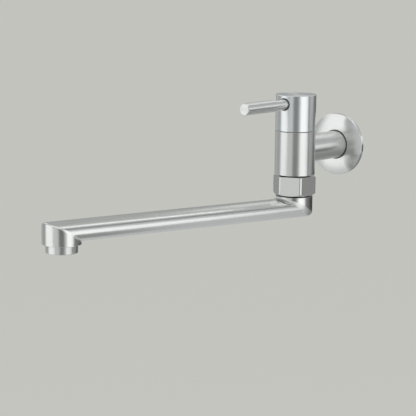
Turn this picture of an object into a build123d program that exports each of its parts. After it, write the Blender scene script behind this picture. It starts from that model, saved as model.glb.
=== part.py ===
from build123d import *
import math
import os

# Wall mounted cold water tap with a swivel spout.
# The origin is on the wall, at the centre of the inlet thread.
# +Z is up, +Y goes into the wall, and the spout stands out towards -Y.

# Layout
wall_to_axis = 65.0
seam_height = 17.8
seam_gap = 0.5
union_gap = 1.2
spout_turn = -16.2
mitre_steps = 8
running_gap = 0.3
shaft_gap = 0.05
seat_gap = 0.02
groove_share = 1.1
pressed_ring_sides = 8
edge_break = 0.4

# Body
body_diameter = 35.0
body_length = 37.75
collar_diameter = 27.0
collar_length = 6.5
chamber_diameter = 25.0
chamber_floor = -8.0
chamber_roof = 12.0
seat_depth = 3.0
outlet_port_diameter = 13.0
union_thread_diameter = 26.44
union_thread_length = 10.5
stem_socket_depth = 12.0

# Inlet neck
inlet_thread_diameter = 20.955
inlet_thread_length = 15.0
inlet_shoulder = 1.0
inlet_chamfer = 1.0
neck_diameter = 24.2
waterway_diameter = 12.0
neck_pilot_diameter = 15.6
neck_ring_section = 1.7
neck_ring_place = 3.0

# Wall flange
flange_diameter = 54.6
flange_hole_diameter = 25.5
flange_rim_height = 2.3
flange_bevel = 0.45
flange_rise = 4.8
flange_crown = 4.3
flange_hub_height = 1.8
flange_sheet = 1.5

# Cartridge
cartridge_thread_diameter = 20.955
barrel_diameter = 18.4
barrel_bore_diameter = 15.6
barrel_roof = 13.5
hexagon_width = 24.0
hexagon_height = 4.5
headwork_neck_diameter = 17.0
headwork_neck_length = 4.0
window_width = 9.0
window_low = -1.5
window_high = 6.5
gasket_height = 2.4
fixed_disc_height = 3.0
moving_disc_height = 2.8
disc_diameter = 15.0
port_outer_diameter = 13.0
port_inner_diameter = 4.4
port_half_angle = 40.0
drive_notch_depth = 1.2
housing_ring_section = 1.5

# Spindle
shank_diameter = 8.0
shank_length = 33.0
foot_height = 3.5
leg_inner_diameter = 8.4
leg_half_angle = 22.0
dog_inner_diameter = 11.2
washer_height = 0.9
spindle_ring_section = 1.2
spindle_ring_places = (18.5, 23.5)
clip_diameter = 12.0
clip_height = 0.8
clip_groove_diameter = 6.4

# Handle
cap_height = 31.0
cap_bore_diameter = 30.0
cap_bore_depth = 17.0
cap_top_height = 2.6
adapter_diameter = 18.0
adapter_length = 10.8
lever_height = 41.4
lever_hole_diameter = 10.3
lever_hole_chamfer = 0.5
lever_diameter = 10.4
lever_neck_diameter = 8.8
lever_reach = 73.0
lever_shoulder = 32.5
lever_thread_diameter = 6.0
lever_chamfer = 0.6
glide_ring_height = 4.0

# Spout nut
nut_width = 33.0
nut_height = 16.5
nut_lip_height = 2.5
nut_turn = 23.0
nut_chamfer_height = 1.9
nut_top_chamfer_height = 0.9
nut_top_chamfer_width = 1.5
nut_corner_radius = 2.4
split_ring_height = 2.0
split_ring_diameter = 25.0
split_groove_diameter = 16.0
slip_washer_height = 1.2

# Spout
riser_diameter = 32.0
riser_plate = 2.5
arm_height = 17.2
arm_centre = -49.7
arm_side_radius = 6.5
spout_wall = 1.5
spout_reach = 234.0
heel_run = 6.0
heel_rise = 4.5
head_foot = -59.6
head_edge_run = 1.2
head_edge_rise = 1.2
stem_diameter = 19.0
stem_ring_section = 1.8
stem_ring_places = (-22.6, -26.6)

# Outlet fitting
outlet_thread_diameter = 24.0
outlet_thread_length = 5.0
outlet_port_width = 19.0
outlet_boss_diameter = 26.0
outlet_shelf = 1.6
aerator_diameter = 26.4
aerator_height = 6.9
aerator_bore_diameter = 20.6
aerator_lip = 0.9
aerator_lip_height = 1.0
aerator_gasket_height = 1.5
flow_insert_height = 8.5
flow_insert_wall = 1.4
flow_plate_height = 1.8
flow_hole_diameter = 1.6
flow_hole_inner_circle = 3.4
flow_hole_inner_count = 6
flow_hole_outer_circle = 6.8
flow_hole_outer_count = 12
screen_height = 1.6
screen_cell = 2.4
screen_pitch = 2.9
screen_row_count = 7

# Heights and radii that follow from these
axis_origin = Vector(0, -wall_to_axis, 0)
body_top = seam_height - seam_gap / 2
body_foot = body_top - body_length
collar_top = body_top + collar_length
seat_height = chamber_floor - seat_depth
union_foot = body_foot - union_thread_length
socket_top = union_foot + stem_socket_depth
cap_rim = seam_height + seam_gap / 2
cap_top = cap_rim + cap_height
cap_shelf = cap_rim + cap_bore_depth
adapter_roof = cap_top - cap_top_height
hexagon_top = collar_top + hexagon_height
headwork_top = hexagon_top + headwork_neck_length
barrel_foot = seat_height + gasket_height
fixed_disc_top = barrel_foot + fixed_disc_height
moving_disc_top = fixed_disc_top + moving_disc_height
foot_top = barrel_roof - washer_height - shaft_gap
nut_top = body_foot - union_gap
nut_foot = nut_top - nut_height
lip_top = nut_foot + nut_lip_height
riser_top = nut_foot - union_gap
split_ring_foot = lip_top + slip_washer_height + shaft_gap
split_ring_top = split_ring_foot + split_ring_height
head_radius = riser_diameter / 2
arm_top = arm_centre + arm_height / 2
arm_foot = arm_centre - arm_height / 2
side_centre = head_radius - arm_side_radius
crown_drop = (side_centre**2 - (arm_height / 2 - arm_side_radius) ** 2) / (arm_height - 2 * arm_side_radius)
arc_span = math.hypot(side_centre, crown_drop)
aerator_top = head_foot + outlet_thread_length
aerator_foot = head_foot - aerator_height
lip_shelf = aerator_foot + aerator_lip_height
shelf_foot = aerator_top + aerator_gasket_height
shelf_top = shelf_foot + outlet_shelf

# Planes and axes
half_turn = math.degrees(math.pi)
tap_axis = Axis(axis_origin, (0, 0, 1))
inlet_axis = Axis((0, 0, 0), (0, 1, 0))
turning_plane = Plane(origin=axis_origin, x_dir=(1, 0, 0), z_dir=(0, -1, 0))
inlet_plane = Plane(origin=(0, 0, 0), x_dir=(0, 0, 1), z_dir=(1, 0, 0))
lever_plane = Plane(origin=(0, -wall_to_axis, lever_height), x_dir=(0, -1, 0), z_dir=(1, 0, 0))
lever_axis = Axis(lever_plane.origin, (0, -1, 0))
turn = math.radians(spout_turn)
outward = Vector(math.sin(turn), -math.cos(turn), 0)
across = Vector(math.cos(turn), math.sin(turn), 0)
head_origin = axis_origin + outward * spout_reach
head_axis = Axis(head_origin, (0, 0, 1))
outlet_plane = Plane(origin=head_origin, x_dir=(1, 0, 0), z_dir=(0, -1, 0))


def level(height):
    """Horizontal plane on the tap's upright axis."""
    return Plane(origin=axis_origin + Vector(0, 0, height), x_dir=(1, 0, 0), z_dir=(0, 0, 1))


def spout_level(along, height):
    """Horizontal plane on the spout's line, with its x axis along the spout."""
    centre = axis_origin + outward * along + Vector(0, 0, height)
    return Plane(origin=centre, x_dir=outward, z_dir=(0, 0, 1))


def spout_section(along):
    """Upright plane across the spout at the arm's mid height."""
    centre = axis_origin + outward * along + Vector(0, 0, arm_centre)
    return Plane(origin=centre, x_dir=across, z_dir=outward)


def ring_sketch(plane, outer, inner):
    """Flat ring between two diameters."""
    with BuildSketch(plane) as ring:
        Circle(outer / 2)
        Circle(inner / 2, mode=Mode.SUBTRACT)
    return ring.sketch


def sector_pair(plane, outer, inner, half_angle, turned):
    """Two opposite sectors of a ring, the first one centred on the angle turned."""
    spread = math.radians(half_angle)
    reach = outer / math.cos(spread)
    with BuildSketch(plane) as pair:
        for middle in (turned, turned + half_turn):
            centre = math.radians(middle)
            with BuildLine():
                Polyline(
                    (0, 0),
                    (reach * math.cos(centre - spread), reach * math.sin(centre - spread)),
                    (reach * math.cos(centre + spread), reach * math.sin(centre + spread)),
                    close=True,
                )
            make_face()
        Circle(outer / 2, mode=Mode.INTERSECT)
        Circle(inner / 2, mode=Mode.SUBTRACT)
    return pair.sketch


def pressed_ring(section):
    """Section of a rubber ring pressed flat against its groove and wall, for the open sketch."""
    turned = half_turn / pressed_ring_sides
    RegularPolygon(section / 2, pressed_ring_sides, major_radius=False, rotation=turned)


def cut_groove(place, diameter, section):
    """Groove for a seal of that section, cut into the upright shaft being built."""
    width = section * groove_share
    extrude(
        ring_sketch(level(place - width / 2), 2 * diameter, diameter - 2 * section - 4 * seat_gap),
        amount=width,
        mode=Mode.SUBTRACT,
    )


def oval(inset):
    """Flattened tube section of four tangent arcs, held in by inset, for the open sketch."""
    half_width = head_radius - inset
    half_height = arm_height / 2 - inset
    joint_reach = arm_side_radius - inset
    joint_x = side_centre + joint_reach * side_centre / arc_span
    joint_z = joint_reach * crown_drop / arc_span
    with BuildLine() as outline:
        ThreePointArc((-joint_x, joint_z), (0, half_height), (joint_x, joint_z))
        ThreePointArc((joint_x, joint_z), (half_width, 0), (joint_x, -joint_z))
        ThreePointArc((joint_x, -joint_z), (0, -half_height), (-joint_x, -joint_z))
        ThreePointArc((-joint_x, -joint_z), (-half_width, 0), (-joint_x, joint_z))
    make_face(outline.edges())


def section_height(sideways):
    """Half height of the flattened section at a sideways distance from its middle."""
    if sideways <= side_centre + arm_side_radius * side_centre / arc_span:
        return math.sqrt((crown_drop + arm_height / 2) ** 2 - sideways**2) - crown_drop
    return math.sqrt(max(arm_side_radius**2 - (sideways - side_centre) ** 2, 0))


def mitre_block(along, side):
    """Block above (side 1) or below (side -1) the mitre where a round end meets the arm."""
    steps = [math.pi / 2 * step / mitre_steps for step in range(-mitre_steps, mitre_steps + 1)]
    curve = [
        (
            head_radius * math.sin(step),
            math.copysign(section_height(head_radius * math.cos(step)), step),
        )
        for step in steps
    ]
    far_x = 1.5 * head_radius
    far_z = 1.5 * arm_height / 2
    lengthwise = Plane(origin=spout_level(along, arm_centre).origin, x_dir=outward, z_dir=-across)
    with BuildPart() as block:
        with BuildSketch(lengthwise):
            with BuildLine():
                Spline(*curve)
                Polyline(
                    curve[-1],
                    (far_x, far_z),
                    (far_x, side * 2 * head_radius),
                    (-far_x, side * 2 * head_radius),
                    (-far_x, -far_z),
                    curve[0],
                )
            make_face()
        extrude(amount=2 * head_radius, both=True)
    return block.part


def corner_ring(along, side, run, rise, inset):
    """Half ring that rounds the outer corner of an elbow: side -1 at its foot, 1 at its top."""
    radius = head_radius - inset
    corner_z = side * (arm_height / 2 - inset)
    inner_x = radius - max(run - inset, shaft_gap)
    low_z = corner_z - side * max(rise - inset, shaft_gap)
    middle = (
        inner_x + (radius - inner_x) * math.sin(math.pi / 4),
        low_z + (corner_z - low_z) * math.sin(math.pi / 4),
    )
    outside = head_radius + running_gap - inset
    profile_plane = Plane(
        origin=spout_level(along, arm_centre).origin, x_dir=across * -side, z_dir=outward * -side
    )
    with BuildPart() as ring:
        with BuildSketch(profile_plane):
            with BuildLine():
                ThreePointArc((inner_x, corner_z), middle, (outside, low_z))
                Polyline(
                    (outside, low_z),
                    (radius + run, low_z),
                    (radius + run, corner_z + side * rise),
                    (inner_x, corner_z + side * rise),
                    (inner_x, corner_z),
                )
            make_face()
        revolve(axis=Axis(profile_plane.origin, (0, 0, 1)), revolution_arc=half_turn)
    return ring.part


# Upright body with its cartridge bore, water chamber, seat and stem socket
with BuildPart() as tap_body:
    with BuildSketch(turning_plane):
        with BuildLine():
            Polyline(
                (stem_diameter / 2 + shaft_gap, union_foot),
                (union_thread_diameter / 2, union_foot),
                (union_thread_diameter / 2, body_foot),
                (body_diameter / 2, body_foot),
                (body_diameter / 2, body_top),
                (collar_diameter / 2, body_top),
                (collar_diameter / 2, collar_top),
                (cartridge_thread_diameter / 2 + housing_ring_section + 3 * seat_gap, collar_top),
                (cartridge_thread_diameter / 2 + housing_ring_section + 3 * seat_gap,
                 collar_top - housing_ring_section - 2 * seat_gap),
                (cartridge_thread_diameter / 2 + seat_gap,
                 collar_top - housing_ring_section - 2 * seat_gap),
                (cartridge_thread_diameter / 2 + seat_gap, chamber_roof),
                (chamber_diameter / 2, chamber_roof),
                (chamber_diameter / 2, chamber_floor),
                (barrel_diameter / 2 + seat_gap, chamber_floor),
                (barrel_diameter / 2 + seat_gap, seat_height),
                (outlet_port_diameter / 2, seat_height),
                (outlet_port_diameter / 2, socket_top),
                (stem_diameter / 2 + shaft_gap, socket_top),
                close=True,
            )
        make_face()
    revolve(axis=tap_axis)
    with BuildSketch(Plane.XZ.offset(wall_to_axis - body_diameter / 2)):
        Circle(neck_pilot_diameter / 2 + seat_gap)
    extrude(amount=body_diameter / 4, mode=Mode.SUBTRACT)
    outer_rims = tap_body.edges().filter_by(
        lambda edge: edge.geom_type == GeomType.CIRCLE and abs(edge.radius - body_diameter / 2) < seat_gap
    )
    chamfer(outer_rims.group_by(Axis.Z)[0] + outer_rims.group_by(Axis.Z)[-1], edge_break / 2)
tap_body.part.label = "tap_body"

# Inlet neck: a saddle cut end on the body, a groove for the flange's ring and the pipe thread
neck_groove_radius = flange_hole_diameter / 2 - neck_ring_section - 2 * seat_gap
groove_width = neck_ring_section * groove_share
with BuildPart() as inlet_leg:
    with BuildSketch(inlet_plane):
        with BuildLine():
            Polyline(
                (0, wall_to_axis),
                (neck_diameter / 2, wall_to_axis),
                (neck_diameter / 2, neck_ring_place + groove_width / 2),
                (neck_groove_radius, neck_ring_place + groove_width / 2),
                (neck_groove_radius, neck_ring_place - groove_width / 2),
                (neck_diameter / 2, neck_ring_place - groove_width / 2),
                (neck_diameter / 2, inlet_shoulder),
                (inlet_thread_diameter / 2, inlet_shoulder),
                (inlet_thread_diameter / 2, inlet_shoulder - inlet_thread_length),
                (inlet_thread_diameter / 2 - inlet_chamfer,
                 inlet_shoulder - inlet_thread_length - inlet_chamfer),
                (0, inlet_shoulder - inlet_thread_length - inlet_chamfer),
                close=True,
            )
        make_face()
    revolve(axis=inlet_axis)
    with BuildSketch(level(-neck_diameter)):
        Circle(body_diameter / 2)
    extrude(amount=2 * neck_diameter, mode=Mode.SUBTRACT)
    with BuildSketch(Plane.XZ.offset(wall_to_axis - body_diameter / 2 - inlet_shoulder)):
        Circle(neck_pilot_diameter / 2)
    extrude(amount=(body_diameter - chamber_diameter) / 2 + inlet_shoulder)
    with BuildSketch(Plane.XZ.offset(-inlet_thread_length)):
        Circle(waterway_diameter / 2)
    extrude(amount=inlet_thread_length + wall_to_axis, mode=Mode.SUBTRACT)
inlet_leg.part.label = "inlet_leg"

# Dished cover plate on the wall, hollow behind, with a bevelled rim
with BuildPart() as wall_flange:
    flange_radius = flange_diameter / 2
    hole_radius = flange_hole_diameter / 2
    with BuildSketch(inlet_plane):
        with BuildLine():
            Polyline(
                (hole_radius + edge_break, flange_rise),
                (hole_radius, flange_rise - edge_break),
                (hole_radius, flange_hub_height),
                (hole_radius + flange_sheet, flange_hub_height),
                (flange_radius - flange_sheet - flange_bevel, flange_rim_height - flange_sheet / 2),
                (flange_radius - flange_sheet, 0),
                (flange_radius, 0),
                (flange_radius, flange_rim_height),
                (flange_radius - flange_bevel, flange_rim_height + flange_bevel),
            )
            ThreePointArc(
                (flange_radius - flange_bevel, flange_rim_height + flange_bevel),
                ((flange_radius + hole_radius) / 2, flange_crown),
                (hole_radius + edge_break, flange_rise),
            )
        make_face()
    revolve(axis=inlet_axis)
wall_flange.part.label = "wall_flange"

# Rubber ring in the neck's groove, which grips the flange
with BuildPart() as flange_o_ring:
    with BuildSketch(inlet_plane):
        with Locations((flange_hole_diameter / 2 - seat_gap - neck_ring_section / 2, neck_ring_place)):
            pressed_ring(neck_ring_section)
    revolve(axis=inlet_axis)
flange_o_ring.part.label = "flange_o_ring"

# Quarter turn headwork: threaded brass housing with four water windows
with BuildPart() as cartridge_housing:
    with BuildSketch(turning_plane):
        with BuildLine():
            Polyline(
                (barrel_bore_diameter / 2, barrel_foot),
                (barrel_diameter / 2, barrel_foot),
                (barrel_diameter / 2, chamber_roof),
                (cartridge_thread_diameter / 2, chamber_roof),
                (cartridge_thread_diameter / 2, collar_top),
                (headwork_neck_diameter / 2, collar_top),
                (headwork_neck_diameter / 2, headwork_top),
                (shank_diameter / 2 + shaft_gap, headwork_top),
                (shank_diameter / 2 + shaft_gap, barrel_roof),
                (barrel_bore_diameter / 2, barrel_roof),
                close=True,
            )
        make_face()
    revolve(axis=tap_axis)
    with BuildSketch(level(collar_top)):
        RegularPolygon(hexagon_width / 2, 6, major_radius=False)
        Circle(headwork_neck_diameter / 2, mode=Mode.SUBTRACT)
    extrude(amount=hexagon_height)
    for window_angle in (45, 135):
        window_plane = Plane(
            origin=axis_origin + Vector(0, 0, (window_low + window_high) / 2),
            x_dir=(math.cos(math.radians(window_angle)), math.sin(math.radians(window_angle)), 0),
            z_dir=(-math.sin(math.radians(window_angle)), math.cos(math.radians(window_angle)), 0),
        )
        with BuildSketch(window_plane):
            RectangleRounded(window_width, window_high - window_low, edge_break)
        extrude(amount=barrel_diameter, both=True, mode=Mode.SUBTRACT)
cartridge_housing.part.label = "cartridge_housing"

# Seal below the housing's hexagon
with BuildPart() as housing_o_ring:
    with BuildSketch(turning_plane):
        with Locations((
            cartridge_thread_diameter / 2 + housing_ring_section / 2 + seat_gap,
            collar_top - housing_ring_section / 2 - seat_gap,
        )):
            pressed_ring(housing_ring_section)
    revolve(axis=tap_axis)
housing_o_ring.part.label = "housing_o_ring"

# Rubber seat seal between the body's seat and the cartridge
with BuildPart() as disc_gasket:
    extrude(ring_sketch(level(seat_height), barrel_diameter, outlet_port_diameter), amount=gasket_height)
disc_gasket.part.label = "disc_gasket"

# Ceramic discs, shown closed: each port lies under the other disc's solid part
with BuildPart() as fixed_disc:
    with BuildSketch(level(barrel_foot)):
        Circle(disc_diameter / 2)
    extrude(amount=fixed_disc_height)
    extrude(
        sector_pair(level(barrel_foot), port_outer_diameter, port_inner_diameter, port_half_angle, 0),
        amount=fixed_disc_height,
        mode=Mode.SUBTRACT,
    )
fixed_disc.part.label = "fixed_disc"

with BuildPart() as moving_disc:
    with BuildSketch(level(fixed_disc_top)):
        Circle(disc_diameter / 2)
    extrude(amount=moving_disc_height)
    extrude(
        sector_pair(level(fixed_disc_top), port_outer_diameter, port_inner_diameter, port_half_angle, 90),
        amount=moving_disc_height,
        mode=Mode.SUBTRACT,
    )
    extrude(
        sector_pair(level(moving_disc_top), disc_diameter + edge_break, dog_inner_diameter, leg_half_angle, 0),
        amount=-drive_notch_depth,
        mode=Mode.SUBTRACT,
    )
moving_disc.part.label = "moving_disc"

# Spindle: foot plate and two drive legs below, seal grooves and clip groove on the shank
clip_place = headwork_top + running_gap + clip_height / 2
shank_top = foot_top + shank_length
leg_diameter = disc_diameter - 2 * running_gap
with BuildPart() as spindle:
    with BuildSketch(level(foot_top - foot_height)):
        Circle(disc_diameter / 2)
    extrude(amount=foot_height)
    with BuildSketch(level(foot_top)):
        Circle(shank_diameter / 2)
    extrude(amount=shank_length)
    extrude(
        sector_pair(level(moving_disc_top), leg_diameter, leg_inner_diameter, leg_half_angle, 0),
        amount=foot_top - foot_height - moving_disc_top,
    )
    extrude(
        sector_pair(level(moving_disc_top), leg_diameter, dog_inner_diameter + shaft_gap, leg_half_angle - 1, 0),
        amount=shaft_gap - drive_notch_depth,
    )
    for place in spindle_ring_places:
        cut_groove(place, shank_diameter, spindle_ring_section)
    extrude(
        ring_sketch(level(clip_place - clip_height / 2 - shaft_gap), 2 * shank_diameter, clip_groove_diameter),
        amount=clip_height + 2 * shaft_gap,
        mode=Mode.SUBTRACT,
    )
    chamfer(spindle.faces().sort_by(Axis.Z)[-1].edges(), edge_break)
spindle.part.label = "spindle"

# Two seals on the spindle
with BuildPart() as spindle_o_rings:
    for place in spindle_ring_places:
        with BuildSketch(turning_plane):
            with Locations(((shank_diameter - spindle_ring_section) / 2 - seat_gap, place)):
                pressed_ring(spindle_ring_section)
        revolve(axis=tap_axis)
spindle_o_rings.part.label = "spindle_o_rings"

# Slip washer between the spindle's foot and the housing
with BuildPart() as friction_washer:
    extrude(
        ring_sketch(level(barrel_roof - washer_height), disc_diameter, shank_diameter + 2 * running_gap),
        amount=washer_height,
    )
friction_washer.part.label = "friction_washer"

# Open retaining ring on the spindle, above the housing
with BuildPart() as spindle_clip:
    extrude(
        ring_sketch(level(clip_place - clip_height / 2), clip_diameter, clip_groove_diameter + 2 * seat_gap),
        amount=clip_height,
    )
    with BuildSketch(level(clip_place - clip_height / 2)):
        with Locations((clip_diameter / 2, 0)):
            Rectangle(clip_diameter, clip_groove_diameter * 0.7)
    extrude(amount=clip_height, mode=Mode.SUBTRACT)
spindle_clip.part.label = "spindle_clip"

# Plastic ring that centres the cap on the body's collar
with BuildPart() as glide_ring:
    extrude(
        ring_sketch(level(body_top), cap_bore_diameter - 2 * running_gap, collar_diameter + 2 * seat_gap),
        amount=glide_ring_height,
    )
glide_ring.part.label = "glide_ring"

# Turning cap with the lever's clearance hole
with BuildPart() as handle_cap:
    with BuildSketch(turning_plane):
        with BuildLine():
            Polyline(
                (cap_bore_diameter / 2, cap_rim),
                (body_diameter / 2 - edge_break / 2, cap_rim),
                (body_diameter / 2, cap_rim + edge_break / 2),
                (body_diameter / 2, cap_top - edge_break),
                (body_diameter / 2 - edge_break, cap_top),
                (0, cap_top),
                (0, adapter_roof),
                (adapter_diameter / 2, adapter_roof),
                (adapter_diameter / 2, cap_shelf),
                (cap_bore_diameter / 2, cap_shelf),
                close=True,
            )
        make_face()
    revolve(axis=tap_axis)
    with BuildSketch(Plane.XZ.offset(wall_to_axis)):
        with Locations((0, lever_height)):
            Circle(lever_hole_diameter / 2)
    extrude(amount=body_diameter, mode=Mode.SUBTRACT)
    lever_hole_rim = handle_cap.edges().filter_by(GeomType.BSPLINE).sort_by(Axis.Y)[0]
    chamfer(lever_hole_rim, lever_hole_chamfer)
handle_cap.part.label = "handle_cap"

# Brass adapter, pushed over the spindle and tapped for the lever
adapter_foot = adapter_roof - adapter_length
with BuildPart() as handle_insert:
    with BuildSketch(turning_plane):
        with BuildLine():
            Polyline(
                (shank_diameter / 2 + seat_gap, adapter_foot),
                (adapter_diameter / 2 - seat_gap, adapter_foot),
                (adapter_diameter / 2 - seat_gap, adapter_roof),
                (0, adapter_roof),
                (0, shank_top + running_gap),
                (shank_diameter / 2 + seat_gap, shank_top + running_gap),
                close=True,
            )
        make_face()
    revolve(axis=tap_axis)
    with BuildSketch(Plane.XZ.offset(wall_to_axis)):
        with Locations((0, lever_height)):
            Circle(lever_thread_diameter / 2 + seat_gap)
    extrude(amount=adapter_diameter, mode=Mode.SUBTRACT)
handle_insert.part.label = "handle_insert"

# Pin lever: thread, slim neck and rod, turned in one piece
with BuildPart() as lever_rod:
    with BuildSketch(lever_plane):
        with BuildLine():
            Polyline(
                (shank_diameter / 2 + shaft_gap, 0),
                (shank_diameter / 2 + shaft_gap, lever_thread_diameter / 2),
                (adapter_diameter / 2, lever_thread_diameter / 2),
                (adapter_diameter / 2, lever_neck_diameter / 2),
                (lever_shoulder - edge_break, lever_neck_diameter / 2),
                (lever_shoulder - edge_break, lever_diameter / 2 - edge_break),
                (lever_shoulder, lever_diameter / 2),
                (lever_reach - lever_chamfer, lever_diameter / 2),
                (lever_reach, lever_diameter / 2 - lever_chamfer),
                (lever_reach, 0),
                close=True,
            )
        make_face()
    revolve(axis=lever_axis)
lever_rod.part.label = "lever_rod"

# Hexagon union nut, with chamfered ends, thread above and a lip below
nut_corner = nut_width / 2 / math.cos(math.radians(30))
with BuildPart() as spout_nut:
    with BuildSketch(level(nut_foot)) as spout_nut_outline:
        RegularPolygon(nut_width / 2, 6, major_radius=False, rotation=nut_turn)
        fillet(spout_nut_outline.vertices(), nut_corner_radius)
    extrude(amount=nut_height)
    with BuildSketch(turning_plane):
        with BuildLine():
            Polyline(
                (0, nut_foot),
                (nut_width / 2, nut_foot),
                (nut_corner, nut_foot + nut_chamfer_height),
                (nut_corner, nut_top - nut_top_chamfer_height),
                (nut_corner - nut_top_chamfer_width, nut_top),
                (0, nut_top),
                close=True,
            )
        make_face()
    revolve(axis=tap_axis, mode=Mode.INTERSECT)
    with BuildSketch(level(lip_top)):
        Circle(union_thread_diameter / 2 + seat_gap)
    extrude(amount=nut_top - lip_top, mode=Mode.SUBTRACT)
    with BuildSketch(level(nut_foot)):
        Circle(stem_diameter / 2 + running_gap)
    extrude(amount=nut_lip_height, mode=Mode.SUBTRACT)
spout_nut.part.label = "spout_nut"

# Plastic washers above and below the split ring
with BuildPart() as slip_washers:
    for washer_foot in (lip_top, union_foot - slip_washer_height):
        extrude(
            ring_sketch(
                level(washer_foot), union_thread_diameter - 2 * shaft_gap, stem_diameter + 2 * running_gap
            ),
            amount=slip_washer_height,
        )
slip_washers.part.label = "slip_washers"

# Open ring that hangs the spout on the nut
with BuildPart() as split_ring:
    extrude(
        ring_sketch(level(split_ring_foot), split_ring_diameter, split_groove_diameter + 2 * seat_gap),
        amount=split_ring_height,
    )
    with BuildSketch(spout_level(0, split_ring_foot)):
        with Locations((split_ring_diameter / 2, 0)):
            Rectangle(split_ring_diameter, split_groove_diameter * 0.2)
    extrude(amount=split_ring_height, mode=Mode.SUBTRACT)
split_ring.part.label = "split_ring"

# Turned stem that carries the spout in the body
stem_top = socket_top - running_gap
with BuildPart() as swivel_stem:
    with BuildSketch(level(riser_top - riser_plate)):
        Circle(stem_diameter / 2)
    extrude(amount=stem_top - riser_top + riser_plate)
    for place in stem_ring_places:
        cut_groove(place, stem_diameter, stem_ring_section)
    extrude(
        ring_sketch(level(split_ring_foot - shaft_gap), 2 * stem_diameter, split_groove_diameter),
        amount=split_ring_height + 2 * shaft_gap,
        mode=Mode.SUBTRACT,
    )
    with BuildSketch(level(riser_top - riser_plate)):
        Circle(outlet_port_diameter / 2)
    extrude(amount=stem_top - riser_top + riser_plate, mode=Mode.SUBTRACT)
    chamfer(swivel_stem.edges().filter_by(GeomType.CIRCLE).sort_by(Axis.Z)[-1], edge_break)
swivel_stem.part.label = "swivel_stem"

# Two seals on the stem
with BuildPart() as stem_o_rings:
    for place in stem_ring_places:
        with BuildSketch(turning_plane):
            with Locations(((stem_diameter - stem_ring_section) / 2 - seat_gap, place)):
                pressed_ring(stem_ring_section)
        revolve(axis=tap_axis)
stem_o_rings.part.label = "stem_o_rings"

# Hollow of the riser, rounded at the heel like its outside
with BuildPart() as riser_hollow:
    with BuildSketch(spout_level(0, arm_foot)):
        Circle(head_radius - spout_wall)
    extrude(amount=riser_top - riser_plate - arm_foot)
    add(corner_ring(0, -1, heel_run, heel_rise, spout_wall), mode=Mode.SUBTRACT)

# Round upright end below the nut, with a plate on top for the stem and a mitred foot
with BuildPart() as spout_riser:
    with BuildSketch(spout_level(0, arm_foot)):
        Circle(head_radius)
    extrude(amount=riser_top - arm_foot)
    add(mitre_block(0, 1), mode=Mode.INTERSECT)
    add(corner_ring(0, -1, heel_run, heel_rise, 0), mode=Mode.SUBTRACT)
    add(riser_hollow.part, mode=Mode.SUBTRACT)
    with BuildSketch(level(riser_top)):
        Circle(stem_diameter / 2 + seat_gap)
    extrude(amount=-2 * riser_plate, mode=Mode.SUBTRACT)
    chamfer(spout_riser.faces().sort_by(Axis.Z)[-1].outer_wire().edges(), edge_break / 2)
spout_riser.part.label = "spout_riser"

# Hollow of the flattened tube
with BuildPart() as arm_hollow:
    with BuildSketch(spout_section(-head_radius)):
        oval(spout_wall)
    extrude(amount=spout_reach + riser_diameter)
    add(corner_ring(0, -1, heel_run, heel_rise, spout_wall), mode=Mode.SUBTRACT)

# Long flattened tube, mitred at both ends
with BuildPart() as spout_arm:
    with BuildSketch(spout_section(-head_radius)):
        oval(0)
    extrude(amount=spout_reach + riser_diameter)
    add(mitre_block(0, 1), mode=Mode.SUBTRACT)
    add(mitre_block(spout_reach, -1), mode=Mode.SUBTRACT)
    add(corner_ring(0, -1, heel_run, heel_rise, 0), mode=Mode.SUBTRACT)
    add(corner_ring(spout_reach, 1, head_edge_run, head_edge_rise, 0), mode=Mode.SUBTRACT)
    add(arm_hollow.part, mode=Mode.SUBTRACT)
spout_arm.part.label = "spout_arm"

# Round outlet end with a mitred top and a threaded boss inside
with BuildPart() as outlet_head:
    with BuildSketch(spout_level(spout_reach, head_foot)):
        Circle(head_radius)
    extrude(amount=arm_top - head_foot)
    with BuildSketch(spout_level(spout_reach, shelf_top)):
        Circle(head_radius - spout_wall)
    extrude(amount=arm_top - shelf_top, mode=Mode.SUBTRACT)
    add(mitre_block(spout_reach, -1), mode=Mode.INTERSECT)
    add(corner_ring(spout_reach, 1, head_edge_run, head_edge_rise, 0), mode=Mode.SUBTRACT)
    with BuildSketch(spout_level(spout_reach, head_foot)):
        Circle(outlet_boss_diameter / 2)
    extrude(amount=shelf_top - head_foot)
    with BuildSketch(spout_level(spout_reach, head_foot)):
        Circle(outlet_thread_diameter / 2)
    extrude(amount=shelf_foot - head_foot, mode=Mode.SUBTRACT)
    with BuildSketch(spout_level(spout_reach, head_foot)):
        Circle(outlet_port_width / 2)
    extrude(amount=shelf_top - head_foot, mode=Mode.SUBTRACT)
    chamfer(outlet_head.faces().sort_by(Axis.Z)[0].outer_wire().edges(), edge_break / 2)
outlet_head.part.label = "outlet_head"

# Threaded outlet ring with a lip that holds the insert
with BuildPart() as aerator_housing:
    with BuildSketch(outlet_plane):
        with BuildLine():
            Polyline(
                (aerator_bore_diameter / 2 - aerator_lip, aerator_foot),
                (aerator_diameter / 2 - edge_break, aerator_foot),
                (aerator_diameter / 2, aerator_foot + edge_break),
                (aerator_diameter / 2, head_foot),
                (outlet_thread_diameter / 2 - seat_gap, head_foot),
                (outlet_thread_diameter / 2 - seat_gap, aerator_top),
                (aerator_bore_diameter / 2, aerator_top),
                (aerator_bore_diameter / 2, lip_shelf),
                (aerator_bore_diameter / 2 - aerator_lip, lip_shelf),
                close=True,
            )
        make_face()
    revolve(axis=head_axis)
aerator_housing.part.label = "aerator_housing"

# Rubber washer between the outlet ring and the shelf in the head
with BuildPart() as aerator_gasket:
    extrude(
        ring_sketch(
            spout_level(spout_reach, aerator_top), outlet_thread_diameter - 2 * seat_gap, outlet_port_width
        ),
        amount=aerator_gasket_height,
    )
aerator_gasket.part.label = "aerator_gasket"

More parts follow.
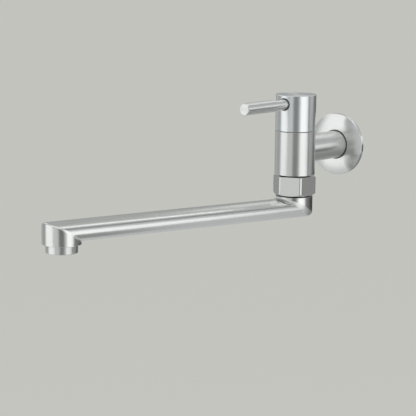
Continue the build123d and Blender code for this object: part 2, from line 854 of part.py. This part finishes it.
# Plastic flow insert: a cup with its perforated plate on top
insert_radius = aerator_bore_diameter / 2 - seat_gap
screen_top = lip_shelf + screen_height
with BuildPart() as aerator_cartridge:
    with BuildSketch(spout_level(spout_reach, screen_top)):
        Circle(insert_radius)
    extrude(amount=flow_insert_height)
    with BuildSketch(spout_level(spout_reach, screen_top)):
        Circle(insert_radius - flow_insert_wall)
    extrude(amount=flow_insert_height - flow_plate_height, mode=Mode.SUBTRACT)
    with BuildSketch(spout_level(spout_reach, screen_top)):
        with PolarLocations(flow_hole_inner_circle, flow_hole_inner_count):
            Circle(flow_hole_diameter / 2)
        with PolarLocations(flow_hole_outer_circle, flow_hole_outer_count):
            Circle(flow_hole_diameter / 2)
    extrude(amount=flow_insert_height, mode=Mode.SUBTRACT)
aerator_cartridge.part.label = "aerator_cartridge"

# Honeycomb screen at the mouth
with BuildPart() as aerator_screen:
    with BuildSketch(spout_level(spout_reach, lip_shelf)):
        Circle(insert_radius)
        with HexLocations(screen_pitch / 2, screen_row_count, screen_row_count):
            RegularPolygon(screen_cell / 2, 6, major_radius=False, mode=Mode.SUBTRACT)
    extrude(amount=screen_height)
    extrude(
        ring_sketch(
            spout_level(spout_reach, lip_shelf), 2 * insert_radius, 2 * (insert_radius - flow_insert_wall)
        ),
        amount=screen_height,
    )
aerator_screen.part.label = "aerator_screen"

os.makedirs("parts", exist_ok=True)
export_step(tap_body.part, "parts/tap_body.step")
export_step(inlet_leg.part, "parts/inlet_leg.step")
export_step(wall_flange.part, "parts/wall_flange.step")
export_step(flange_o_ring.part, "parts/flange_o_ring.step")
export_step(cartridge_housing.part, "parts/cartridge_housing.step")
export_step(housing_o_ring.part, "parts/housing_o_ring.step")
export_step(disc_gasket.part, "parts/disc_gasket.step")
export_step(fixed_disc.part, "parts/fixed_disc.step")
export_step(moving_disc.part, "parts/moving_disc.step")
export_step(spindle.part, "parts/spindle.step")
export_step(spindle_o_rings.part, "parts/spindle_o_rings.step")
export_step(friction_washer.part, "parts/friction_washer.step")
export_step(spindle_clip.part, "parts/spindle_clip.step")
export_step(glide_ring.part, "parts/glide_ring.step")
export_step(handle_cap.part, "parts/handle_cap.step")
export_step(handle_insert.part, "parts/handle_insert.step")
export_step(lever_rod.part, "parts/lever_rod.step")
export_step(spout_nut.part, "parts/spout_nut.step")
export_step(slip_washers.part, "parts/slip_washers.step")
export_step(split_ring.part, "parts/split_ring.step")
export_step(swivel_stem.part, "parts/swivel_stem.step")
export_step(stem_o_rings.part, "parts/stem_o_rings.step")
export_step(spout_riser.part, "parts/spout_riser.step")
export_step(spout_arm.part, "parts/spout_arm.step")
export_step(outlet_head.part, "parts/outlet_head.step")
export_step(aerator_housing.part, "parts/aerator_housing.step")
export_step(aerator_gasket.part, "parts/aerator_gasket.step")
export_step(aerator_cartridge.part, "parts/aerator_cartridge.step")
export_step(aerator_screen.part, "parts/aerator_screen.step")
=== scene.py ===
import math

import bmesh
import bpy
from mathutils import Matrix, Vector


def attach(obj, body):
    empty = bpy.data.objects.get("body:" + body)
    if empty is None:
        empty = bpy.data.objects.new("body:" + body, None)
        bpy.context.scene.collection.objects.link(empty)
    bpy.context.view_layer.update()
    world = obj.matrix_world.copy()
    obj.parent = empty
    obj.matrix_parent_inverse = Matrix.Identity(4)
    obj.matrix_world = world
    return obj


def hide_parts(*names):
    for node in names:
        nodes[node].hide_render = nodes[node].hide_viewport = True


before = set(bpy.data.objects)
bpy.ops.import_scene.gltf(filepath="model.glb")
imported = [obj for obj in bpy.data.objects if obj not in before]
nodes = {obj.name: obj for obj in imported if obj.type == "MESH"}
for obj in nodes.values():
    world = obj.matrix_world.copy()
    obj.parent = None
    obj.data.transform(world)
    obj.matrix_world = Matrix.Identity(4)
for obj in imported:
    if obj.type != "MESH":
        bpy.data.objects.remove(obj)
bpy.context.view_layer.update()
scene = bpy.context.scene

# Lengths are in metres. +Y goes into the wall and +Z is up.
UP = Vector((0, 0, 1))
AXIS = Vector((0, -0.065, 0))
SEAM_Z = 0.0178
SEAM_POINT = AXIS + SEAM_Z * UP

# Camera, from a fit to the photograph: it stands so that the seam's centre falls on its pixel
PICTURE_SIZE = 416
SEAM_PIXEL = (295.35, 130.19)
CAMERA_AZIMUTH = 38.64
CAMERA_ELEVATION = 9.35
CAMERA_ROLL = 0.69
CAMERA_DEPTH = 1.6
FOCAL_PIXELS = 1851.0
SENSOR_WIDTH = 36.0
CLIP_END = 200

# Spout, as in the model: its line, the flattened section, the riser at the tap and the outlet head
SPOUT_TURN = math.radians(-16.2)
SPOUT_OUTWARD = Vector((math.sin(SPOUT_TURN), -math.cos(SPOUT_TURN), 0))
SPOUT_ACROSS = Vector((math.cos(SPOUT_TURN), math.sin(SPOUT_TURN), 0))
SPOUT_Z = -0.0497
SPOUT_REACH = 0.234
SPOUT_MIDDLE = AXIS + SPOUT_Z * UP + SPOUT_REACH / 2 * SPOUT_OUTWARD
ROUND_RADIUS = 0.016
HALF_HEIGHT = 0.0086
SIDE_RADIUS = 0.0065
WALL = 0.0015
EDGE_BREAK = 0.0002
RISER_TOP = -0.0391
RISER_PLATE = 0.0025
STEM_HOLE_RADIUS = 0.00952
HEAD_FOOT = -0.0596
OUTLET_THREAD_RADIUS = 0.012
OUTLET_PORT_RADIUS = 0.0095
SHELF_FOOT = -0.0531
SHELF_TOP = -0.0515
SPOUT_SEGMENTS = 128

# Rounding of the spout's elbows: (run, rise) in front, at the sides and behind
TAP_ELBOW = ((0.0045, 0.0017), (0.004, 0.003), (0.006, 0.0045))
TAP_ELBOW_INSIDE = ((0.0002, 0.0002), (0.002, 0.0015), (0.0045, 0.003))
OUTLET_ELBOW = ((0.002, 0.002), (0.002, 0.002), (0.0025, 0.001))
OUTLET_ELBOW_INSIDE = ((0.0002, 0.0002), (0.0002, 0.0002), (0.0002, 0.0002))
TAP_ELBOW_STEPS = 10
TAP_ELBOW_INSIDE_STEPS = 4
OUTLET_ELBOW_STEPS = 8
OUTLET_ELBOW_INSIDE_STEPS = 1

# Inlet neck, as in the model, and the real pipe thread at its end
NECK_START_Y = -0.0524
NECK_RADIUS = 0.0121
NECK_GROOVE_Y = (-0.003935, -0.002065)
NECK_GROOVE_RADIUS = 0.01101
SHOULDER_Y = -0.001
BORE_RADIUS = 0.006
INLET_END_Y = 0.015
THREAD_END_Y = 0.014
THREAD_RADIUS = 0.0104775
THREAD_DEPTH = 0.001162
THREAD_PITCH = 0.001814
THREAD_CHAMFER = 0.001
THREAD_STEPS = 112
# The thread is at full depth after a tenth of its length, and the chamfer keeps a shallow trace of it
RUN_IN_RATE = 10.0
CHAMFER_DEPTH_SHARE = 0.35
# Profile of a groove: a triangle made steeper and lowered by this much, with crest and root cut flat
GROOVE_SLOPE = 1.35
GROOVE_DROP = 0.175
LATHE_SEGMENTS = 96
# Edges that bend further than this stay sharp
SMOOTH_ANGLE = math.radians(28)

# Studio: the picture's plain background, what metal mirrors where no lamp or card stands, and the floor
BACKGROUND = (0.550, 0.556, 0.514)
REFLECTED = (0.545, 0.565, 0.575)
AMBIENT = (0.8, 0.8, 0.8)
FLOOR_COLOUR = (0.62, 0.625, 0.60)
FLOOR_ROUGHNESS = 0.9
FLOOR_GLOW_SHARE = 0.8
FLOOR_Z = -0.62
FLOOR_RADIUS = 60.0
FLOOR_SEGMENTS = 96
CARD_TINT = (0.97, 1.0, 0.985)

# Finishes: how fine the grain is along X, Y and Z, the clouds in a metal's shade, and the relief
ROUND_Z_GRAIN = (60, 60, 2200)
ROUND_Y_GRAIN = (60, 2200, 60)
ALONG_SPOUT_GRAIN = (900, 120, 900)
NUT_GRAIN = (200, 200, 900)
EVEN_GRAIN = (900, 900, 900)
PLAIN_GRAIN = (40, 40, 1500)
GRAIN_SCALE = 3.0
GRAIN_DETAIL = 3.0
CLOUD_SCALE = 45.0
CLOUD_DETAIL = 4.0
CLOUD_STOPS = (0.3, 0.7)
CLOUD_DIM = 0.96
MOULDED_SCALE = 900.0
MOULDED_DIM = 0.9
RELIEF = 0.0002
ROUGHNESS_SPREAD = (0.9, 1.1)
# Turns the stretched highlights across the grooves
GROOVE_ROTATION = 0.25
# Heights of the body's recess above the nut, and the colour of the painted shade in it
RECESS = (-0.0204, -0.0308)
RECESS_SHADE = (0.05, 0.05, 0.05, 1)
STEEL = (0.80, 0.80, 0.785)


def direction(azimuth, elevation):
    """Unit vector at these angles in degrees: azimuth 0 is towards -Y and 90 towards +X."""
    a = math.radians(azimuth)
    e = math.radians(elevation)
    return Vector((math.sin(a) * math.cos(e), -math.cos(a) * math.cos(e), math.sin(e)))


def axes_matrix(place, x_axis, y_axis, z_axis):
    rows = Matrix((x_axis, y_axis, z_axis)).transposed()
    return Matrix.Translation(place) @ rows.to_4x4()


def round_tap(azimuth, elevation, distance):
    """Place round the tap, facing its seam, with its X axis level."""
    place = SEAM_POINT + distance * direction(azimuth, elevation)
    turn = (SEAM_POINT - place).to_track_quat("-Z", "Y")
    return Matrix.Translation(place) @ turn.to_matrix().to_4x4()


def along_spout(angle, distance, slide):
    """Place beside the spout, facing it, with its Y axis along it.

    The angle is measured in the plane across the spout, 0 to its right and 90 above it, and
    slide is how far the place is moved towards the wall."""
    a = math.radians(angle)
    facing = math.cos(a) * SPOUT_ACROSS + math.sin(a) * UP
    place = SPOUT_MIDDLE + distance * facing - slide * SPOUT_OUTWARD
    return axes_matrix(place, SPOUT_OUTWARD.cross(facing), SPOUT_OUTWARD, facing)


def add_object(name, data):
    added = bpy.data.objects.new(name, data)
    scene.collection.objects.link(added)
    return added


def make_camera():
    a = math.radians(CAMERA_AZIMUTH)
    roll = math.radians(CAMERA_ROLL)
    back = direction(CAMERA_AZIMUTH, CAMERA_ELEVATION)
    level_right = Vector((math.cos(a), math.sin(a), 0))
    level_up = back.cross(level_right)
    right = math.cos(roll) * level_right + math.sin(roll) * level_up
    up = -math.sin(roll) * level_right + math.cos(roll) * level_up
    offset_x = (SEAM_PIXEL[0] - PICTURE_SIZE / 2) * CAMERA_DEPTH / FOCAL_PIXELS
    offset_y = (PICTURE_SIZE / 2 - SEAM_PIXEL[1]) * CAMERA_DEPTH / FOCAL_PIXELS
    place = SEAM_POINT - offset_x * right - offset_y * up + CAMERA_DEPTH * back
    data = bpy.data.cameras.new("camera")
    data.sensor_width = SENSOR_WIDTH
    data.lens = FOCAL_PIXELS / PICTURE_SIZE * SENSOR_WIDTH
    data.clip_end = CLIP_END
    camera = add_object("camera", data)
    camera.matrix_world = axes_matrix(place, right, up, back)
    scene.camera = camera


def set_inputs(node, inputs):
    """Give each input its value, or link it where the source is another node's output."""
    for place, source in inputs.items():
        if isinstance(source, bpy.types.NodeSocket):
            node.id_data.links.new(source, node.inputs[place])
        else:
            node.inputs[place].default_value = source


def add_node(tree, kind, inputs):
    node = tree.nodes.new(kind)
    set_inputs(node, inputs)
    return node


def new_material(name):
    material = bpy.data.materials.new(name)
    material.use_nodes = True
    tree = material.node_tree
    return material, tree, tree.nodes["Principled BSDF"]


def object_place(tree):
    return tree.nodes.new("ShaderNodeTexCoord").outputs["Object"]


def noise(tree, inputs):
    return add_node(tree, "ShaderNodeTexNoise", inputs).outputs["Fac"]


def clouded(tree, clouds, colour, dim, stops):
    """The colour, dimmed where the clouds are low."""
    ramp = add_node(tree, "ShaderNodeValToRGB", {"Fac": clouds})
    low, high = ramp.color_ramp.elements
    low.position, high.position = stops
    low.color = (*(dim * part for part in colour), 1)
    high.color = (*colour, 1)
    return ramp.outputs["Color"]


def bumped(tree, grain, strength):
    """Normal with the grain's relief."""
    bump = add_node(tree, "ShaderNodeBump", {"Strength": strength, "Distance": RELIEF, "Height": grain})
    return bump.outputs["Normal"]


def shaded_recess(tree, place, colour, recess):
    """The colour, darkened between the recess's top and foot: painted shade in the recess."""
    top, foot = recess
    height = add_node(tree, "ShaderNodeSeparateXYZ", {"Vector": place})
    inside = tree.nodes.new("ShaderNodeMath")
    inside.operation = "COMPARE"
    set_inputs(inside, {0: height.outputs["Z"], 1: (top + foot) / 2, 2: (top - foot) / 2})
    shade_mix = tree.nodes.new("ShaderNodeMix")
    shade_mix.data_type = "RGBA"
    set_inputs(shade_mix, {"Factor": inside.outputs["Value"], "A": colour, "B": RECESS_SHADE})
    return shade_mix.outputs["Result"]


def metal(name, colour, roughness, grain=PLAIN_GRAIN, grain_height=0.02, turned=0.0, axis=None,
          recess=None, metallic=1.0):
    """Worked metal with fine grain, faint clouds and a slight spread of roughness.

    turned is how far the grooves round the axis stretch the highlights, and recess is (top, foot)
    of a band of painted shade. Below 1, metallic leaves a face some shade of its own."""
    material, tree, shader = new_material(name)
    place = object_place(tree)
    stretched = add_node(tree, "ShaderNodeMapping", {"Vector": place, "Scale": grain})
    fine = noise(tree, {
        "Vector": stretched.outputs["Vector"], "Scale": GRAIN_SCALE, "Detail": GRAIN_DETAIL,
    })
    broad = noise(tree, {"Vector": place, "Scale": CLOUD_SCALE, "Detail": CLOUD_DETAIL})
    base = clouded(tree, broad, colour, CLOUD_DIM, CLOUD_STOPS)
    # Painted shade: the metal is darkened between the recess's top and foot
    if recess:
        base = shaded_recess(tree, place, base, recess)
    spread = add_node(tree, "ShaderNodeMapRange", {
        "Value": fine,
        "To Min": roughness * ROUGHNESS_SPREAD[0],
        "To Max": roughness * ROUGHNESS_SPREAD[1],
    })
    set_inputs(shader, {
        "Base Color": base,
        "Metallic": metallic,
        "Roughness": spread.outputs["Result"],
        "Normal": bumped(tree, fine, grain_height),
        "Anisotropic": turned,
        "Anisotropic Rotation": GROOVE_ROTATION,
    })
    if axis:
        tangent = tree.nodes.new("ShaderNodeTangent")
        tangent.direction_type = "RADIAL"
        tangent.axis = axis
        set_inputs(shader, {"Tangent": tangent.outputs["Tangent"]})
    return material


def moulded(name, colour, roughness, grain_height=0.05):
    """Plastic, rubber or ceramic with a faint moulded grain."""
    material, tree, shader = new_material(name)
    fine = noise(tree, {"Vector": object_place(tree), "Scale": MOULDED_SCALE})
    set_inputs(shader, {
        "Base Color": clouded(tree, fine, colour, MOULDED_DIM, (0.0, 1.0)),
        "Roughness": roughness,
        "Normal": bumped(tree, fine, grain_height),
    })
    return material


# The body's steel carries painted shade in its recess above the nut
upright_steel = metal("upright_steel", STEEL, 0.31, ROUND_Z_GRAIN, turned=0.8, axis="Z", recess=RECESS)
# Painted light: the body's steel, made lighter and cooler to give the cap its brighter tone
lit_cap_steel = metal("lit_cap_steel", (0.84, 0.855, 0.855), 0.30, ROUND_Z_GRAIN, turned=0.8, axis="Z")
neck_steel = metal("neck_steel", STEEL, 0.32, ROUND_Y_GRAIN, turned=0.75, axis="Y")
flange_steel = metal("flange_steel", STEEL, 0.20, ROUND_Y_GRAIN, turned=0.95, axis="Y")
lever_steel = metal("lever_steel", STEEL, 0.31, ROUND_Y_GRAIN, turned=0.8, axis="Y")
spout_steel = metal("spout_steel", STEEL, 0.24, ALONG_SPOUT_GRAIN)
elbow_steel = metal("elbow_steel", STEEL, 0.40, EVEN_GRAIN)
nut_steel = metal("nut_steel", (0.84, 0.84, 0.83), 0.18, NUT_GRAIN, grain_height=0.01, metallic=0.85)
inner_steel = metal("inner_steel", (0.62, 0.62, 0.61), 0.3)
shadowed_steel = metal("shadowed_steel", (0.06, 0.06, 0.06), 0.4)
brass = metal("brass", (0.76, 0.58, 0.28), 0.28, ROUND_Z_GRAIN)
plated_brass = metal("plated_brass", (0.42, 0.42, 0.40), 0.35, ROUND_Z_GRAIN)
rubber = moulded("rubber", (0.03, 0.03, 0.03), 0.55)
ceramic = moulded("ceramic", (0.86, 0.85, 0.82), 0.15, grain_height=0.01)
white_plastic = moulded("white_plastic", (0.80, 0.80, 0.78), 0.4)

FINISHES = {
    "tap_body": upright_steel,
    "inlet_leg": neck_steel,
    "wall_flange": flange_steel,
    "flange_o_ring": rubber,
    "cartridge_housing": brass,
    "housing_o_ring": rubber,
    "disc_gasket": rubber,
    "fixed_disc": ceramic,
    "moving_disc": ceramic,
    "spindle": brass,
    "spindle_o_rings": rubber,
    "friction_washer": white_plastic,
    "spindle_clip": inner_steel,
    "glide_ring": white_plastic,
    "handle_cap": lit_cap_steel,
    "handle_insert": plated_brass,
    "lever_rod": lever_steel,
    "spout_nut": nut_steel,
    "slip_washers": white_plastic,
    "split_ring": inner_steel,
    "swivel_stem": shadowed_steel,
    "stem_o_rings": rubber,
    "spout_riser": spout_steel,
    "spout_arm": spout_steel,
    "outlet_head": spout_steel,
    "aerator_housing": upright_steel,
    "aerator_gasket": rubber,
    "aerator_cartridge": white_plastic,
    "aerator_screen": white_plastic,
}
for node_name, finish in FINISHES.items():
    for material_slot in nodes[node_name].material_slots:
        material_slot.material = finish


def mixed_shaders(tree, share, first, second):
    """The first shader, giving way to the second by share."""
    return add_node(tree, "ShaderNodeMixShader", {0: share, 1: first, 2: second}).outputs["Shader"]


def math_result(tree, operation, first, second):
    node = tree.nodes.new("ShaderNodeMath")
    node.operation = operation
    set_inputs(node, {0: first, 1: second})
    return node.outputs["Value"]


def plain_light(tree, colour):
    background = add_node(tree, "ShaderNodeBackground", {"Color": (*colour, 1)})
    return background.outputs["Background"]


def make_world():
    """Even ambient light, with other shades where a mirror or the camera sees the world."""
    world = bpy.data.worlds.new("studio")
    scene.world = world
    world.use_nodes = True
    tree = world.node_tree
    tree.nodes.clear()
    ray = tree.nodes.new("ShaderNodeLightPath").outputs
    mirrored = mixed_shaders(
        tree, ray["Is Glossy Ray"], plain_light(tree, AMBIENT), plain_light(tree, REFLECTED))
    seen = math_result(tree, "MAXIMUM", ray["Is Camera Ray"], ray["Is Transmission Ray"])
    surface = mixed_shaders(tree, seen, mirrored, plain_light(tree, BACKGROUND))
    add_node(tree, "ShaderNodeOutputWorld", {"Surface": surface})


def make_floor():
    """Pale floor that keeps a soft shadow and is seen and mirrored in the background's shades."""
    mesh = bpy.data.meshes.new("floor")
    build = bmesh.new()
    bmesh.ops.create_circle(build, cap_ends=True, segments=FLOOR_SEGMENTS, radius=FLOOR_RADIUS)
    build.to_mesh(mesh)
    build.free()
    floor = add_object("floor", mesh)
    floor.location = (0, 0, FLOOR_Z)
    material, tree, shader = new_material("pale_floor")
    set_inputs(shader, {"Base Color": (*FLOOR_COLOUR, 1), "Roughness": FLOOR_ROUGHNESS})
    ray = tree.nodes.new("ShaderNodeLightPath").outputs
    glow = add_node(tree, "ShaderNodeEmission", {
        "Color": (*BACKGROUND, 1), "Strength": ray["Is Camera Ray"],
    })
    grey = add_node(tree, "ShaderNodeEmission", {
        "Color": (*REFLECTED, 1), "Strength": ray["Is Glossy Ray"],
    })
    both = add_node(tree, "ShaderNodeAddShader", {
        0: glow.outputs["Emission"], 1: grey.outputs["Emission"],
    })
    seen = math_result(tree, "MAXIMUM", ray["Is Camera Ray"], ray["Is Glossy Ray"])
    share = math_result(tree, "MULTIPLY", seen, FLOOR_GLOW_SHARE)
    surface = mixed_shaders(tree, share, shader.outputs["BSDF"], both.outputs["Shader"])
    set_inputs(tree.nodes["Material Output"], {"Surface": surface})
    mesh.materials.append(material)


def soft_lamp(name, matrix, width, height, radiance):
    """Rectangular soft lamp that the camera doesn't see.

    radiance is what it adds in a mirror to the shade that lies behind it."""
    data = bpy.data.lights.new(name, "AREA")
    data.shape = "RECTANGLE"
    data.size = width
    data.size_y = height
    data.energy = radiance * math.pi * width * height
    lamp = add_object(name, data)
    lamp.matrix_world = matrix
    lamp.visible_camera = False


def grey_card(name, matrix, width, height, shade):
    """Evenly lit card that only mirrors see, and that hides what lies behind it from them."""
    mesh = bpy.data.meshes.new(name)
    x = width / 2
    y = height / 2
    mesh.from_pydata([(-x, -y, 0), (x, -y, 0), (x, y, 0), (-x, y, 0)], [], [(0, 1, 2, 3)])
    card = add_object(name, mesh)
    card.matrix_world = matrix
    material, _, shader = new_material(name)
    set_inputs(shader, {
        "Base Color": (0, 0, 0, 1),
        "Specular IOR Level": 0.0,
        "Emission Color": (*(tint * shade for tint in CARD_TINT), 1),
        "Emission Strength": 1.0,
    })
    mesh.materials.append(material)
    card.visible_camera = False
    card.visible_shadow = False
    card.visible_diffuse = False


def closed_rings(name, rings, materials, body, replaced, finish_of=None):
    """Closed piece from rings of points, the last joined to the first, that replaces those nodes on a body.

    finish_of gives the material's place in the list for each strip that isn't in the first one,
    by the number of the ring where the strip starts."""
    count = len(rings)
    around = len(rings[0])
    vertices = [point for ring in rings for point in ring]
    faces = []
    for ring in range(count):
        following = (ring + 1) % count
        for step in range(around):
            after = (step + 1) % around
            faces.append((
                ring * around + step, ring * around + after,
                following * around + after, following * around + step,
            ))
    mesh = bpy.data.meshes.new(name)
    mesh.from_pydata(vertices, [], faces)
    for ring, place in (finish_of or {}).items():
        for step in range(around):
            mesh.polygons[ring * around + step].material_index = place
    build = bmesh.new()
    build.from_mesh(mesh)
    bmesh.ops.recalc_face_normals(build, faces=build.faces)
    for edge in build.edges:
        edge.smooth = edge.calc_face_angle(0.0) < SMOOTH_ANGLE
    for face in build.faces:
        face.smooth = True
    build.to_mesh(mesh)
    build.free()
    for material in materials:
        mesh.materials.append(material)
    piece = add_object(name, mesh)
    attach(piece, body)
    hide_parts(*replaced)


def turned_ring(y, radius, depth_share):
    """Ring round the inlet's axis, cut by that share of the thread's depth."""
    points = []
    for step in range(LATHE_SEGMENTS):
        turn = step / LATHE_SEGMENTS
        phase = (y / THREAD_PITCH + turn) % 1.0
        groove = GROOVE_SLOPE * (1.0 - abs(2.0 * phase - 1.0)) - GROOVE_DROP
        r = radius - THREAD_DEPTH * depth_share * min(1.0, max(0.0, groove))
        points.append((r * math.cos(2 * math.pi * turn), y, r * math.sin(2 * math.pi * turn)))
    return points


def make_inlet():
    """The inlet neck with its groove, real pipe thread and bore."""
    groove_start, groove_end = NECK_GROOVE_Y
    profile = [
        (NECK_START_Y, BORE_RADIUS, 0), (NECK_START_Y, NECK_RADIUS, 0),
        (groove_start, NECK_RADIUS, 0), (groove_start, NECK_GROOVE_RADIUS, 0),
        (groove_end, NECK_GROOVE_RADIUS, 0), (groove_end, NECK_RADIUS, 0),
        (SHOULDER_Y, NECK_RADIUS, 0), (SHOULDER_Y, THREAD_RADIUS, 0),
    ]
    for step in range(1, THREAD_STEPS + 1):
        share = step / THREAD_STEPS
        y = SHOULDER_Y + share * (THREAD_END_Y - SHOULDER_Y)
        profile.append((y, THREAD_RADIUS, min(1.0, RUN_IN_RATE * share)))
    profile.append((INLET_END_Y, THREAD_RADIUS - THREAD_CHAMFER, CHAMFER_DEPTH_SHARE))
    profile.append((INLET_END_Y, BORE_RADIUS, 0))
    rings = [turned_ring(*row) for row in profile]
    closed_rings("inlet_neck", rings, [neck_steel], "fixed_body", ["inlet_leg"])


def half_height(sideways, inset):
    """Half height of the flattened section at that sideways distance, held in by inset.

    The section has a shallow arch above and below, which runs into a small arc at each side."""
    side = ROUND_RADIUS - SIDE_RADIUS
    rise = HALF_HEIGHT - SIDE_RADIUS
    drop = (side ** 2 - rise ** 2) / (2 * rise)
    span = math.hypot(side, drop)
    reach = SIDE_RADIUS - inset
    a = abs(sideways)
    if a <= side + reach * side / span:
        return math.sqrt((span + reach) ** 2 - a ** 2) - drop
    return math.sqrt(max(reach ** 2 - (a - side) ** 2, 0.0))


def spout_point(along, sideways, z):
    point = AXIS + along * SPOUT_OUTWARD + sideways * SPOUT_ACROSS
    return (point.x, point.y, z)


def spout_circle(along, radius, z):
    """Level ring on the spout's line; every ring of the spout starts at its right-hand side."""
    points = []
    for step in range(SPOUT_SEGMENTS):
        s = 2 * math.pi * step / SPOUT_SEGMENTS
        points.append(spout_point(along + radius * math.sin(s), radius * math.cos(s), z))
    return points


def blend(sizes, s):
    """(run, rise) of an elbow's rounding at angle s, from its values in front, at the sides and behind."""
    front, side, rear = sizes
    t = math.sin(s)
    end = front if t > 0 else rear
    return [side[k] + abs(t) * (end[k] - side[k]) for k in (0, 1)]


def elbow_rings(along, upright, inset, sizes, steps):
    """Rings round an elbow, from its upright round end to the arm's flattened end.

    upright is 1 where the round end goes up from the arm and -1 where it goes down."""
    radius = ROUND_RADIUS - inset
    rings = []
    for step in range(steps + 1):
        turn = math.pi / 2 * step / steps
        ring = []
        for around in range(SPOUT_SEGMENTS):
            s = 2 * math.pi * around / SPOUT_SEGMENTS
            run, rise = blend(sizes, s)
            sideways = radius * math.cos(s)
            corner_x = along + radius * math.sin(s)
            corner_z = SPOUT_Z + math.copysign(half_height(sideways, inset), math.sin(s))
            x = corner_x + upright * run * (1 - math.cos(turn))
            z = corner_z + upright * rise * (1 - math.sin(turn))
            ring.append(spout_point(x, sideways, z))
        rings.append(ring)
    return rings


def make_spout():
    """The polished skin of the welded spout, with soft blends where it turns into the flattened arm."""
    rings = [
        spout_circle(0, STEM_HOLE_RADIUS, RISER_TOP - RISER_PLATE),
        spout_circle(0, STEM_HOLE_RADIUS, RISER_TOP),
        spout_circle(0, ROUND_RADIUS - EDGE_BREAK, RISER_TOP),
        spout_circle(0, ROUND_RADIUS, RISER_TOP - EDGE_BREAK),
    ]
    # The stem's hole and the riser's top lie in the nut's shade, and the elbow is less polished
    elbow_start = len(rings)
    elbow_strips = range(elbow_start, elbow_start + TAP_ELBOW_STEPS)
    finish_of = {0: 1, 1: 1, **{ring: 2 for ring in elbow_strips}}
    rings += elbow_rings(0, 1, 0, TAP_ELBOW, TAP_ELBOW_STEPS)
    rings += elbow_rings(SPOUT_REACH, -1, 0, OUTLET_ELBOW, OUTLET_ELBOW_STEPS)[::-1]
    rings += [
        spout_circle(SPOUT_REACH, ROUND_RADIUS, HEAD_FOOT + EDGE_BREAK),
        spout_circle(SPOUT_REACH, ROUND_RADIUS - EDGE_BREAK, HEAD_FOOT),
        spout_circle(SPOUT_REACH, OUTLET_THREAD_RADIUS, HEAD_FOOT),
        spout_circle(SPOUT_REACH, OUTLET_THREAD_RADIUS, SHELF_FOOT),
        spout_circle(SPOUT_REACH, OUTLET_PORT_RADIUS, SHELF_FOOT),
        spout_circle(SPOUT_REACH, OUTLET_PORT_RADIUS, SHELF_TOP),
        spout_circle(SPOUT_REACH, ROUND_RADIUS - WALL, SHELF_TOP),
    ]
    rings += elbow_rings(SPOUT_REACH, -1, WALL, OUTLET_ELBOW_INSIDE, OUTLET_ELBOW_INSIDE_STEPS)
    rings += elbow_rings(0, 1, WALL, TAP_ELBOW_INSIDE, TAP_ELBOW_INSIDE_STEPS)[::-1]
    rings.append(spout_circle(0, ROUND_RADIUS - WALL, RISER_TOP - RISER_PLATE))
    closed_rings("spout_skin", rings, [spout_steel, shadowed_steel, elbow_steel], "spout",
                 ["spout_riser", "spout_arm", "outlet_head"], finish_of)


make_camera()
make_world()
make_floor()
make_inlet()
make_spout()

# Lamps and cards: name, place, width, height, and a lamp's radiance or a card's shade. The place is
# round_tap(azimuth, elevation, distance) or along_spout(angle, distance, slide).

# For the upright body
soft_lamp("lamp_left", round_tap(-31, 0, 1.3), 1.0, 1.8, 0.54)
soft_lamp("lamp_right", round_tap(79, 0, 1.3), 0.74, 1.8, 0.72)
grey_card("card_middle", round_tap(8, -10, 2.1), 1.36, 1.8, 0.64)
grey_card("card_front", round_tap(37.5, -6, 1.9), 1.00, 1.7, 0.15)
grey_card("card_right", round_tap(129, -14, 1.9), 1.40, 1.8, 0.10)
grey_card("card_edge", round_tap(181, -11, 0.8), 0.98, 0.31, 0.05)
grey_card("card_under", round_tap(166, -36, 0.7), 0.7, 0.34, 0.24)
grey_card("card_left", round_tap(-74, 0, 1.9), 1.12, 1.6, 0.36)
# For the cap's top
grey_card("card_back", round_tap(217, 9, 1.1), 0.90, 0.34, 0.36)
# For the nut's flat sides
grey_card("nut_card_left", round_tap(-113, -9, 1.7), 0.50, 0.40, 0.23)
grey_card("nut_card_right", round_tap(127, -9, 1.7), 0.50, 0.40, 0.165)
# For the neck and the lever, one over them and one beside them
soft_lamp("lamp_neck", round_tap(203, 33, 1.5), 0.6, 0.4, 0.4)
soft_lamp("strip_neck", round_tap(138, 5.5, 1.2), 0.70, 0.38, 0.75)
# For the elbows' rounded edges and the flange's rim
soft_lamp("lamp_elbows", round_tap(-95, 34, 1.4), 0.5, 0.5, 0.6)
soft_lamp("lamp_top", round_tap(12, 55, 1.6), 1.4, 0.8, 0.6)
# For the spout's flanks
soft_lamp("strip_ridge", along_spout(103, 1.2, 0.83), 0.34, 1.3, 0.9)
soft_lamp("strip_side", along_spout(4, 1.2, 0.83), 0.95, 0.52, 0.58)
grey_card("strip_dark", along_spout(62, 1.5, 1.03), 0.5, 1.7, 0.25)
grey_card("strip_top", along_spout(128, 1.5, 1.03), 1.6, 1.7, 0.44)
grey_card("strip_foot", along_spout(-60, 0.5, -0.07), 0.8, 0.7, 0.28)

scene.view_settings.view_transform = "Standard"
